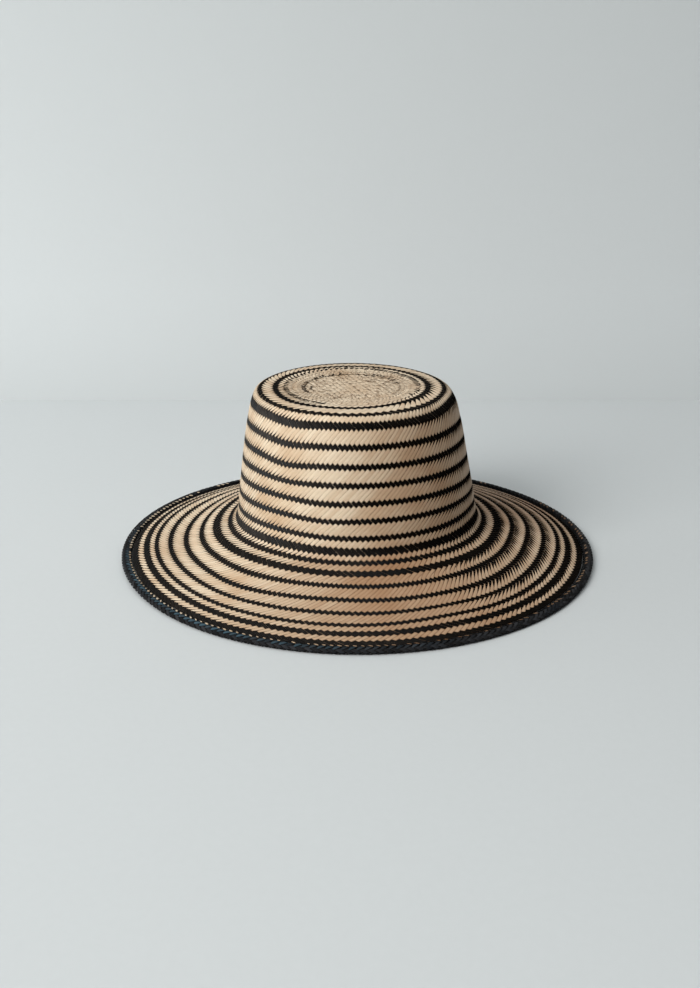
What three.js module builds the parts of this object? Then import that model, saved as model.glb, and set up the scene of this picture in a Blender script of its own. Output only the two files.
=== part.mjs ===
// A plaited straw hat with a tall tapered crown and a wide brim, lying on its brim.
// The crown and the brim are plaited in one piece, as one thin wall. The ends of the
// straws are turned back and plaited into a thick black braid that runs round the rim.
// Millimetres, +Z up. The origin is on the surface that the hat lies on, at the middle
// of the rim. The front of the hat looks along -Y.
import * as THREE from 'three';

// Driving sizes
const WALL = 2; // two straws, one over the other
const RIM_RADIUS = 183;
const BRAID_WIDTH = 8;
const BRAID_HEIGHT = 4.4;
const BRAID_ROUND_HEIGHT = 4.84; // before its foot is pressed flat
const PIECE_GAP = 0.3;

// How finely the round forms are cut
const TURN_STEPS = 72;
const SPAN_STEPS = 2;
const BRAID_STEPS = 12;

// The outer face from the middle of the tip to the rim, as it stands at the front.
// left, right and back say how much higher the same row stands there, and lean is how
// far its middle has moved to the side, because the crown was plaited by hand: its tip
// rises evenly from the front to the back, and the brim waves a little.
const OUTER_FACE = [
  { place: 'tip middle', radius: 0, height: 127.7, left: 0, right: 0, back: 0, lean: -4.3 },
  { place: 'tip hollow', radius: 30, height: 126.7, left: 0, right: 0, back: 2.4, lean: -4.3 },
  { place: 'tip black ring', radius: 57.5, height: 126.2, left: 0, right: 0, back: 4.6, lean: -4.3 },
  { place: 'tip lip', radius: 69, height: 125.2, left: 0, right: 0, back: 5.6, lean: -4.1 },
  { place: 'tip turn', radius: 73.8, height: 123.2, left: 0, right: 0, back: 5.2, lean: -3.6 },
  { place: 'wall top', radius: 76.2, height: 119.6, left: 0, right: 0, back: 3.8, lean: -3.1 },
  { place: 'wall', radius: 80.7, height: 105, left: 0, right: 0, back: 1.6, lean: -2.5 },
  { place: 'wall', radius: 86, height: 78.5, left: -1.6, right: -1.6, back: 0, lean: -1.8 },
  { place: 'wall', radius: 90.3, height: 53.6, left: -2.8, right: -2.8, back: 0, lean: -0.8 },
  { place: 'wall foot', radius: 93.2, height: 35.5, left: -2.8, right: -2.6, back: 0, lean: -0.2 },
  { place: 'neck', radius: 95.2, height: 29.6, left: -2.8, right: -2.4, back: 0, lean: 0 },
  { place: 'neck', radius: 99.5, height: 26.4, left: -2.8, right: -2.2, back: 0, lean: 0 },
  { place: 'brim', radius: 110.3, height: 23.2, left: -3.2, right: -1.6, back: 0, lean: 0 },
  { place: 'brim', radius: 133.8, height: 14.4, left: -2.8, right: 2, back: 0, lean: 0 },
  { place: 'brim', radius: 156.2, height: 7.8, left: 2.4, right: 3, back: 0, lean: 0 },
  { place: 'brim', radius: 167, height: 4.7, left: 3.4, right: 2.4, back: 0, lean: 0 },
  { place: 'brim edge', radius: RIM_RADIUS - BRAID_WIDTH, height: 3, left: 2, right: 1, back: 0, lean: 0 },
];
const RIM = OUTER_FACE[OUTER_FACE.length - 1]; // the braid rises and falls with it

// The share of the turn on each side of the front and back where the rim lies flat
const FLAT_SHARE = 0.5;

const NATURAL_STRAW = new THREE.MeshStandardMaterial({ color: 0xc9aa82, roughness: 0.62, metalness: 0 });
const BLACK_STRAW = new THREE.MeshStandardMaterial({ color: 0x15191c, roughness: 0.45, metalness: 0 });

// 0 up to the edge of the flat stretch, then rising smoothly to 1 where share is 1.
function swell(share) {
  return Math.max(0, (share - FLAT_SHARE) / (1 - FLAT_SHARE)) ** 2;
}

// How much higher than at the front a row stands at one angle round the hat.
function lift(row, angle) {
  const side = Math.sin(angle);
  const behind = (1 - Math.cos(angle)) / 2;
  return row.left * swell(-side) + row.right * swell(side) + row.back * behind;
}

// The rows of the outer face, with SPAN_STEPS rows on a smooth curve for each one of the table.
function smoothRows(table) {
  const curve = new THREE.CatmullRomCurve3(table.map((row) => new THREE.Vector3(row.radius, row.height, 0)));
  const spans = table.length - 1;
  const rows = [];
  for (let step = 0; step <= spans * SPAN_STEPS; step++) {
    const at = step / SPAN_STEPS;
    const first = Math.min(Math.floor(at), spans - 1);
    const share = at - first;
    const mix = (column) => THREE.MathUtils.lerp(table[first][column], table[first + 1][column], share);
    const point = curve.getPoint(at / spans);
    const tangent = curve.getTangent(at / spans);
    rows.push({
      radius: step === 0 ? 0 : point.x,
      height: point.y,
      normal: step === 0 ? new THREE.Vector2(0, 1) : new THREE.Vector2(-tangent.y, tangent.x),
      left: mix('left'),
      right: mix('right'),
      back: mix('back'),
      lean: mix('lean'),
    });
  }
  return rows;
}

// The same rows, set in by the thickness of the wall.
function setIn(rows, depth) {
  return rows.map((row) => ({
    ...row,
    radius: row.radius - row.normal.x * depth,
    height: row.height - row.normal.y * depth,
  }));
}

// A closed turned form with a row of vertices for each row given, bent as its columns say.
function turned(rows) {
  const outline = rows.map((row) => new THREE.Vector2(row.radius, row.height));
  const geometry = new THREE.LatheGeometry(outline, TURN_STEPS).rotateX(Math.PI / 2);
  const position = geometry.attributes.position;
  for (let i = 0; i < position.count; i++) {
    const row = rows[i % rows.length];
    const angle = (2 * Math.PI * Math.floor(i / rows.length)) / TURN_STEPS;
    position.setX(i, position.getX(i) + row.lean);
    position.setZ(i, position.getZ(i) + lift(row, angle));
  }
  geometry.computeVertexNormals();
  return geometry;
}

// The crown and brim as one wall: the inner face from the middle out, then the outer face back.
function plaitedBody() {
  const outer = smoothRows(OUTER_FACE);
  const inner = setIn(outer, WALL);
  const geometry = turned([...inner, ...outer.reverse()]);
  return new THREE.Mesh(geometry, NATURAL_STRAW);
}

// The braid round the rim: a rounded section with a flat foot where it lies on the surface.
function edgeBraid() {
  const halfWidth = (BRAID_WIDTH - PIECE_GAP) / 2;
  const halfHeight = BRAID_ROUND_HEIGHT / 2;
  const rows = [];
  for (let step = 0; step <= BRAID_STEPS; step++) {
    const angle = (2 * Math.PI * (step % BRAID_STEPS)) / BRAID_STEPS;
    const height = BRAID_HEIGHT - halfHeight + halfHeight * Math.sin(angle);
    const radius = RIM_RADIUS - halfWidth + halfWidth * Math.cos(angle);
    rows.push({ ...RIM, radius, height: Math.max(0, height) });
  }
  return new THREE.Mesh(turned(rows), BLACK_STRAW);
}

const hat = new THREE.Group();
for (const [name, piece] of Object.entries({ plaited_body: plaitedBody(), edge_braid: edgeBraid() })) {
  piece.name = name;
  hat.add(piece);
}

export default hat;
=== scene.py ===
"""A plaited straw hat with black rings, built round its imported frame.

The crown and the brim are one plait of two sets of straws. The rising set is natural
straw and the falling set is dyed black, so a ring is black where the falling set lies on
top and natural where the rising set does. Every straw is a ribbon of its own. Metres, +Z
up, the front of the hat looks along -Y.
"""

from __future__ import annotations

import logging
import math
from dataclasses import dataclass, field, replace
from enum import Enum

import bmesh
import bpy
import numpy as np
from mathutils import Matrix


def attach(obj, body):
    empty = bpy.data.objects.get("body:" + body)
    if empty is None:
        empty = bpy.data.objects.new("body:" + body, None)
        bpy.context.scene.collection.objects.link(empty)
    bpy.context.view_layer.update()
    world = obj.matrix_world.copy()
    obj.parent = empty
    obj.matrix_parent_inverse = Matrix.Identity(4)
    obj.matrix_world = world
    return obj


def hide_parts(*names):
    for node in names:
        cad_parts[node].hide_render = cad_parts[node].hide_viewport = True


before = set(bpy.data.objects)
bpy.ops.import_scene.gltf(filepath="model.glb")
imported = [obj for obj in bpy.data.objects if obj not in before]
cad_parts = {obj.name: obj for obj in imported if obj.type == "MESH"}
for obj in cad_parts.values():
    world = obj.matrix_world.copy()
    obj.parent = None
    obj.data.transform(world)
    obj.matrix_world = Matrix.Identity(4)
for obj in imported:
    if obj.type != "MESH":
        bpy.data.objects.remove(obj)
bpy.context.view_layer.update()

LOG = logging.getLogger("straw_hat")
BODY = "root"
FULL_TURN = 2.0 * math.pi
MM = 0.001
Pair = tuple[float, float]
Triple = tuple[float, float, float]
Color = tuple[float, float, float, float]
Array = np.ndarray
Chance = np.random.Generator
Tree = bpy.types.NodeTree
Node = bpy.types.Node
Socket = bpy.types.NodeSocket
Material = bpy.types.Material
Piece = bpy.types.Object


def smooth_step(low: float, high: float, value: Array) -> Array:
    """Rises smoothly from 0 at low to 1 at high.

    Args:
        low: Where the rise starts.
        high: Where the rise ends.
        value: The values to look up.

    Returns:
        The share of the rise at each value.
    """
    share = np.clip((value - low) / (high - low), 0.0, 1.0)
    return share * share * (3.0 - 2.0 * share)


def smooth_curve(knots: Array, values: Array, at: Array) -> Array:
    """A smooth curve through a few points, straight beyond both ends.

    Args:
        knots: Rising positions of the points.
        values: The value at each point.
        at: The positions to look up.

    Returns:
        The curve's value at each position.
    """
    slope = np.gradient(values, knots)
    span = np.clip(np.searchsorted(knots, at, side="right") - 1, 0, len(knots) - 2)
    width = knots[span + 1] - knots[span]
    share = np.clip((at - knots[span]) / width, 0.0, 1.0)
    beyond = at - np.clip(at, knots[0], knots[-1])
    rise = share * share * (3.0 - 2.0 * share)
    leave = share * (1.0 - share) ** 2 * width
    arrive = share * share * (share - 1.0) * width
    inside = (1.0 - rise) * values[span] + rise * values[span + 1]
    inside = inside + leave * slope[span] + arrive * slope[span + 1]
    return inside + beyond * np.where(beyond < 0.0, slope[0], slope[-1])


def bell(value: Array, middle: float, spread: float) -> Array:
    """1 at the middle, falling smoothly to nearly 0 two spreads away."""
    return np.exp(-((value - middle) / spread) ** 2)


def degrees_from(turn: Array, place: float = 0.0) -> Array:
    """Degrees from a place round the hat, 0 the front, to an angle: -180 to 180, left negative."""
    return np.mod(np.degrees(turn) - place + 180.0, 360.0) - 180.0


@dataclass(frozen=True)
class FaceRow:
    """One row of the hat's outer face as it stands at the front, in millimetres.

    left, right and back say how much higher the row stands there, and lean is how far
    its middle lies to the side.
    """

    place: str
    radius: float
    height: float
    left: float = 0.0
    right: float = 0.0
    back: float = 0.0
    lean: float = 0.0


@dataclass
class HatFace:
    """The outer face of the crown and brim, from the middle of the tip to the braid.

    flat_share is how much of the way from the front to a side isn't lifted yet.
    """

    rows: tuple[FaceRow, ...] = (
        FaceRow("tip middle", 0.0, 127.7, lean=-4.3),
        FaceRow("tip hollow", 30.0, 126.7, back=2.4, lean=-4.3),
        FaceRow("tip black ring", 57.5, 126.2, back=4.6, lean=-4.3),
        FaceRow("tip lip", 69.0, 125.2, back=5.6, lean=-4.1),
        FaceRow("tip turn", 73.8, 123.2, back=5.2, lean=-3.6),
        FaceRow("wall top", 76.2, 119.6, back=3.8, lean=-3.1),
        FaceRow("wall", 80.7, 105.0, back=1.6, lean=-2.5),
        FaceRow("wall", 86.0, 78.5, -1.6, -1.6, lean=-1.8),
        FaceRow("wall", 90.3, 53.6, -2.8, -2.8, lean=-0.8),
        FaceRow("wall foot", 93.2, 35.5, -2.8, -2.6, lean=-0.2),
        FaceRow("neck", 95.2, 29.6, -2.8, -2.4),
        FaceRow("neck", 99.5, 26.4, -2.8, -2.2),
        FaceRow("brim", 110.3, 23.2, -3.2, -1.6),
        FaceRow("brim", 133.8, 14.4, -2.8, 2.0),
        FaceRow("brim", 156.2, 7.8, 2.4, 3.0),
        FaceRow("brim", 167.0, 4.7, 3.4, 2.4),
        FaceRow("brim edge", 175.0, 3.0, 2.0, 1.0),
    )
    flat_share: float = 0.5
    cuts_per_row: int = 40
    probe_run: float = 0.5 * MM
    probe_turn: float = 0.006

    def __post_init__(self) -> None:
        """Works out the fine table that point() reads."""
        names = ("radius", "height", "left", "right", "back", "lean")
        table = {name: np.array([getattr(row, name) for row in self.rows]) * MM for name in names}
        chord = np.hypot(np.diff(table["radius"]), np.diff(table["height"]))
        knots = np.concatenate(([0.0], np.cumsum(chord)))
        fine = np.linspace(0.0, knots[-1], (len(self.rows) - 1) * self.cuts_per_row + 1)
        self.columns = {name: smooth_curve(knots, table[name], fine) for name in names}
        steps = np.hypot(np.diff(self.columns["radius"]), np.diff(self.columns["height"]))
        self.runs = np.concatenate(([0.0], np.cumsum(steps)))

    @property
    def edge_run(self) -> float:
        """How far the brim's edge is from the middle of the tip, measured along the face."""
        return float(self.runs[-1])

    def _swell(self, share: Array) -> Array:
        """How much of the side's lift is felt at a share of the way to that side."""
        return np.clip((share - self.flat_share) / (1.0 - self.flat_share), 0.0, 1.0) ** 2

    def lift(self, left: Array, right: Array, back: Array, turn: Array) -> Array:
        """How much higher than at the front a row stands.

        Args:
            left: Its lift at the left side.
            right: Its lift at the right side.
            back: Its lift at the back.
            turn: Angle round the hat from the front.

        Returns:
            The lift at each angle.
        """
        side = np.sin(turn)
        return left * self._swell(-side) + right * self._swell(side) + back * (1.0 - np.cos(turn)) / 2.0

    def point(self, run: Array, turn: Array) -> Array:
        """Points of the outer face.

        Args:
            run: Distance from the middle of the tip, along the face.
            turn: Angle round the hat from the front, positive to the right.

        Returns:
            The points, with x, y and z on the last axis.
        """
        at = {name: np.interp(run, self.runs, column) for name, column in self.columns.items()}
        height = at["height"] + self.lift(at["left"], at["right"], at["back"], turn)
        side = at["lean"] + at["radius"] * np.sin(turn)
        return np.stack((side, -at["radius"] * np.cos(turn), height), -1)

    def outward(self, run: Array, turn: Array) -> Array:
        """Directions straight out of the face.

        Args:
            run: Distance from the middle of the tip, along the face.
            turn: Angle round the hat from the front.

        Returns:
            The directions, of length 1.
        """
        inner = np.clip(run, 2.0 * self.probe_run, self.edge_run - self.probe_run)
        along = self.point(inner + self.probe_run, turn) - self.point(inner - self.probe_run, turn)
        around = self.point(inner, turn + self.probe_turn) - self.point(inner, turn - self.probe_turn)
        normal = np.cross(along, around)
        return normal / np.linalg.norm(normal, axis=-1, keepdims=True)

    def under(self, run: Array, turn: Array, depth: Array) -> Array:
        """Points at a depth straight under the face."""
        return self.point(run, turn) - self.outward(run, turn) * depth[..., None]


@dataclass
class BraidFace:
    """The outer face of the rim braid: a rounded section with a flat foot, swept round the rim."""

    rim_radius: float = 183.0 * MM
    half_width: float = 3.85 * MM
    half_height: float = 2.42 * MM
    top: float = 4.4 * MM
    left: float = 2.0 * MM
    right: float = 1.0 * MM
    foot: float = 0.05 * MM
    rows_round: int = 12
    cuts: int = 240
    hat: HatFace = field(default_factory=HatFace)

    def __post_init__(self) -> None:
        """Measures the section's girth, so that the rows divide it evenly."""
        angle = math.pi - np.linspace(0.0, FULL_TURN, self.cuts + 1)
        radius, height = self._section(angle)
        steps = np.hypot(np.diff(radius), np.diff(height))
        self.angles = angle
        self.girths = np.concatenate(([0.0], np.cumsum(steps)))

    def _section(self, angle: Array) -> tuple[Array, Array]:
        """The braid's section.

        Args:
            angle: Angle round the section, 0 straight out from the rim.

        Returns:
            The radius and the height.
        """
        radius = self.rim_radius - self.half_width + self.half_width * np.cos(angle)
        height = self.top - self.half_height + self.half_height * np.sin(angle)
        return radius, np.maximum(height, 0.0)

    def lift(self, turn: Array) -> Array:
        """How much higher than at the front the braid stands."""
        return self.hat.lift(self.left, self.right, 0.0, turn)

    def place(self, row: Array, turn: Array, depth: Array) -> Array:
        """Points at a depth under the braid's face.

        Args:
            row: Row round the section, 0 at the side that meets the brim, rising over the top.
            turn: Angle round the hat from the front.
            depth: How far inside the face.

        Returns:
            The points, with x, y and z on the last axis.
        """
        girth = np.mod(row / self.rows_round, 1.0) * self.girths[-1]
        angle = np.interp(girth, self.girths, self.angles)
        radius, height = self._section(angle)
        side = np.cos(angle) / self.half_width
        rise = np.sin(angle) / self.half_height
        size = np.hypot(side, rise)
        radius = radius - depth * side / size
        height = np.maximum(height - depth * rise / size, np.maximum(depth, 0.0) + self.foot)
        height = height + self.lift(turn)
        return np.stack((radius * np.sin(turn), -radius * np.cos(turn), height), -1)


@dataclass(frozen=True)
class BlackRing:
    """One black ring of the plait: where it lies and how many rows it has."""

    place: str
    run: float
    rows: int
    natural_after: int


@dataclass(frozen=True)
class Wave:
    """A stretch where the hand-plaited rows wander from a true circle, in millimetres and degrees."""

    run: float
    run_spread: float
    turn: float
    turn_spread: float
    shift: float


@dataclass(frozen=True)
class Joining:
    """Rows over which straws are added, so that one count of straws becomes a larger one."""

    first_row: float
    last_row: float
    middle_row: int
    straws_before: int
    straws_after: int
    tuck_rows: float = 0.6

    @property
    def group(self) -> int:
        """How many straws come out of it for each repeat of its pattern."""
        return self.straws_after // math.gcd(self.straws_after, self.straws_before)

    @property
    def kept(self) -> int:
        """How many of a group's straws came through it, the group's first ones."""
        return self.straws_before * self.group // self.straws_after


class Side(Enum):
    """Which way a straw leans as it runs out from the tip, seen from outside."""

    RISING = 1
    FALLING = -1


@dataclass(frozen=True)
class Fade:
    """A share that is full up to one angle and gone at another, in degrees."""

    full: float
    gone: float
    share: float = 1.0

    def at(self, away: Array) -> Array:
        """The share at some degrees away."""
        return self.share * (1.0 - smooth_step(self.full, self.gone, away))


@dataclass
class Plait:
    """The plait's rows and straws, laid on the hat's face.

    The tip's bands are counted from its inner black ring inwards, in rows. tip_end and
    brim_start are stretches along the face in millimetres, and every other pair is in
    degrees. deepest_shade_turn is where the colour is deepest, on the right, the side turned
    from the light, and each fade runs out from there. On the natural straw the deepening is
    partly its own tan and partly painted shade; on the black straw it is painted shade, and
    its paler left is partly faded dye and partly painted sheen.
    The drawn pairs are where the natural straws start to be drawn together, and where
    they are so in full. Between the behind pair the two sides ease off to the back's share.
    """

    face: HatFace = field(default_factory=HatFace)
    rings: tuple[BlackRing, ...] = (
        BlackRing("tip inner", 57.4, 2, 4),
        BlackRing("tip outer", 70.4, 2, 3),
        BlackRing("shoulder", 80.0, 3, 5),
        BlackRing("wall 1", 94.8, 2, 5),
        BlackRing("wall 2", 108.4, 2, 5),
        BlackRing("wall 3", 121.3, 2, 5),
        BlackRing("wall 4", 133.8, 2, 5),
        BlackRing("wall 5", 146.2, 2, 5),
        BlackRing("wall 6", 158.6, 2, 3),
        BlackRing("foot", 168.0, 3, 2),
        BlackRing("brim 1", 176.3, 2, 3),
        BlackRing("brim 2", 187.6, 3, 4),
        BlackRing("brim 3", 200.0, 2, 5),
        BlackRing("brim 4", 212.9, 2, 5),
        BlackRing("brim 5", 225.4, 2, 5),
        BlackRing("brim 6", 236.3, 2, 3),
        BlackRing("brim 7", 244.2, 3, 3),
        BlackRing("brim edge", 253.2, 3, 0),
    )
    waves: tuple[Wave, ...] = (
        Wave(60.0, 10.0, -45.0, 20.0, 2.2),
        Wave(57.5, 7.0, 40.0, 32.0, -2.0),
        Wave(70.4, 8.0, 180.0, 62.0, -4.8),
        Wave(70.4, 8.0, -180.0, 62.0, -4.8),
        Wave(80.0, 8.0, -34.0, 14.0, 1.5),
        Wave(80.0, 9.0, 72.0, 20.0, -3.0),
        Wave(107.0, 18.0, -35.0, 14.0, 2.6),
        Wave(110.0, 18.0, 72.0, 24.0, -1.8),
        Wave(140.0, 13.0, -15.0, 14.0, 1.3),
        Wave(158.0, 14.0, 72.0, 22.0, -3.6),
        Wave(212.0, 16.0, -38.0, 13.0, 2.5),
        Wave(212.0, 16.0, -8.0, 10.0, -0.9),
        Wave(236.0, 12.0, 21.0, 13.0, -2.0),
        Wave(219.0, 9.0, 42.0, 11.0, 1.5),
        Wave(205.0, 28.0, 74.0, 12.0, -1.8),
    )
    tip_bands: tuple[int, ...] = (2, 3, 2, 2)
    tip_start: float = 36.0
    tip_straws: int = 76
    crown_join: Joining = Joining(5.8, 8.2, 7, 76, 152)
    brim_join: Joining = Joining(71.5, 75.5, 73, 152, 228)
    deepest_shade_turn: float = 68.0
    tip_end: Pair = (70.0, 84.0)
    brim_start: Pair = (160.0, 180.0)
    black_tip_shade: float = 0.8
    black_brim_shade: float = 0.72
    black_crown_shade_fade: Fade = Fade(52.0, 135.0)
    black_brim_shade_fade: Fade = Fade(35.0, 68.0, 0.25)
    natural_tip_shade_and_tan: float = 0.1
    natural_crown_shade_and_tan: Fade = Fade(38.0, 85.0, 0.7)
    natural_brim_shade_and_tan: Fade = Fade(50.0, 128.0)
    natural_brim_shade_dip: Fade = Fade(5.0, 45.0, 0.5)
    right_drawn: Pair = (22.0, 50.0)
    left_drawn: Pair = (6.0, 45.0)
    far_left_drawn: Pair = (30.0, 65.0)
    far_left_share: float = 0.5
    behind: Pair = (110.0, 150.0)
    back_drawn: Pair = (100.0, 150.0)
    back_share: float = 0.4

    def __post_init__(self) -> None:
        """Numbers the rows, with row 0 the first of the first black ring."""
        self.first_row = -sum(self.tip_bands)
        self.black_rows: set[int] = set()
        knots = [self.first_row - 0.5]
        runs = [self.tip_start]
        row = 0
        for ring in self.rings:
            self.black_rows.update(range(row, row + ring.rows))
            knots.append(row + (ring.rows - 1) / 2.0)
            runs.append(ring.run)
            row += ring.rows + ring.natural_after
        self.last_row = row - 1
        self.row_knots = np.array(knots)
        self.row_runs = np.array(runs) * MM

    def natural_on_top(self, row: int) -> bool:
        """Whether the rising set lies on top in a row. The tip's bands go turn about.

        Args:
            row: The row's number.

        Returns:
            True where natural straw shows.
        """
        if row >= 0:
            return row <= self.last_row and row not in self.black_rows
        reached = 0
        for count, rows in enumerate(self.tip_bands):
            reached -= rows
            if row >= reached:
                return count % 2 == 0
        return False

    def band_ends(self, row: Array) -> tuple[Array, Array]:
        """How many rows a place is from the inner and the outer end of the band that it lies in.

        Args:
            row: Row numbers, with fractions.

        Returns:
            The rows back to the band's inner end, and on to its outer end.
        """
        numbers = np.arange(self.first_row, self.last_row + 1)
        natural = np.array([self.natural_on_top(number) for number in numbers])
        changes = numbers[1:][natural[1:] != natural[:-1]] - 0.5
        ends = np.concatenate(([self.first_row - 0.5], changes, [self.last_row + 1.5]))
        place = np.clip(np.searchsorted(ends, row, side="right") - 1, 0, len(ends) - 2)
        return row - ends[place], ends[place + 1] - row

    def run(self, row: Array, turn: Array) -> Array:
        """How far from the middle of the tip a row lies at an angle, with the hand's waves.

        Args:
            row: Row number, with fractions between the rows' middles.
            turn: Angle round the hat from the front.

        Returns:
            The distance along the face.
        """
        run = smooth_curve(self.row_knots, self.row_runs, row)
        angle = degrees_from(turn)
        wander = np.zeros_like(run)
        for wave in self.waves:
            near = bell(run / MM, wave.run, wave.run_spread)
            wander += wave.shift * near * bell(angle, wave.turn, wave.turn_spread)
        return run + wander * MM

    def shade_and_tan_at(self, side: Side, run: Array, turn: Array) -> Array:
        """How deep the straw's colour is at a place: pale on the left, deep on the right, the side turned
        from the light.

        On the natural straw the deepening is partly its own tan and partly painted shade. On the
        black straw it is painted shade, and its paler left is partly faded dye and partly painted sheen.

        Args:
            side: The set of straws.
            run: Distance from the middle of the tip, along the face.
            turn: Angle round the hat from the front.

        Returns:
            The share of the deep colour: painted shade, with the natural straw's own tan.
        """
        away = np.abs(degrees_from(turn, self.deepest_shade_turn))
        brim = smooth_step(*self.brim_start, run / MM)
        tip = 1.0 - smooth_step(*self.tip_end, run / MM)
        if side is Side.FALLING:
            on_crown = self.black_crown_shade_fade.at(away) * (1.0 - tip) + self.black_tip_shade * tip
            on_brim = self.black_brim_shade + self.black_brim_shade_fade.at(away)
        else:
            on_crown = self.natural_crown_shade_and_tan.at(away) * (1.0 - (1.0 - self.natural_tip_shade_and_tan) * tip)
            on_brim = self.natural_brim_shade_and_tan.at(away) * (1.0 - self.natural_brim_shade_dip.at(away))
        return brim * on_brim + (1.0 - brim) * on_crown

    def drawn(self, turn: Array) -> tuple[Array, Array]:
        """How far the natural straws are drawn together at the two ends of a band.

        Args:
            turn: Angle round the hat from the front.

        Returns:
            The share at the inner end, and at the outer end, between 0 and 1.
        """
        angle = degrees_from(turn)
        eased = 1.0 - (1.0 - self.back_share) * smooth_step(*self.behind, np.abs(angle))
        back = self.back_share * smooth_step(*self.back_drawn, np.abs(angle))
        right = smooth_step(*self.right_drawn, angle) * eased
        left = smooth_step(*self.left_drawn, -angle) * eased
        far_left = self.far_left_share * smooth_step(*self.far_left_drawn, -angle)
        return np.maximum.reduce((right, far_left, back)), np.maximum(left, back)

    def _lean(self, row: Array) -> Array:
        """The angle that a straw has turned by when it reaches a row.

        Args:
            row: Row numbers.

        Returns:
            The angles.
        """
        turned = row * (FULL_TURN / self.tip_straws) / 2.0
        start = 0.0
        row_before = 0
        for join in (self.crown_join, self.brim_join):
            start += (join.middle_row - row_before) * (FULL_TURN / join.straws_before) / 2.0
            row_before = join.middle_row
            after = start + (row - join.middle_row) * (FULL_TURN / join.straws_after) / 2.0
            share = smooth_step(join.first_row, join.last_row, row)
            turned = (1.0 - share) * turned + share * after
        return turned

    def turn(self, side: Side, straw: Array, across: Array, row: Array, join: Joining | None) -> Array:
        """The angle round the hat of points on straws.

        Args:
            side: Which set the straws are of.
            straw: Straw numbers.
            across: Place across a straw, -0.5 to 0.5 of the pitch.
            row: Row numbers of the points.
            join: The joining that the straws grow through, or None on the tip.

        Returns:
            The angles.
        """
        if join is None:
            return (straw + across) * FULL_TURN / self.tip_straws - side.value * self._lean(row)
        member = np.mod(straw, join.group)
        block = (straw - member) // join.group * join.kept
        before = np.where(member < join.kept, block + member + across, block + join.kept - 0.5)
        before = before * FULL_TURN / join.straws_before
        after = (straw + across) * FULL_TURN / join.straws_after
        share = smooth_step(join.first_row, join.last_row, row)
        return (1.0 - share) * before + share * after - side.value * self._lean(row)


def add_object(name: str, data: bpy.types.ID) -> Piece:
    """Makes an object and puts it in the scene.

    Args:
        name: Its name.
        data: Its mesh, light or camera.

    Returns:
        The object, at the origin.
    """
    thing = bpy.data.objects.new(name, data)
    bpy.context.scene.collection.objects.link(thing)
    return thing


def dress(piece: Piece, node: str) -> None:
    """Attaches a piece to the body, hides the frame's node that it stands for, and reports it.

    Args:
        piece: The piece.
        node: The frame's node.
    """
    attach(piece, BODY)
    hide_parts(node)
    LOG.info("%s: %d faces", piece.name, len(piece.data.polygons))


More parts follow.
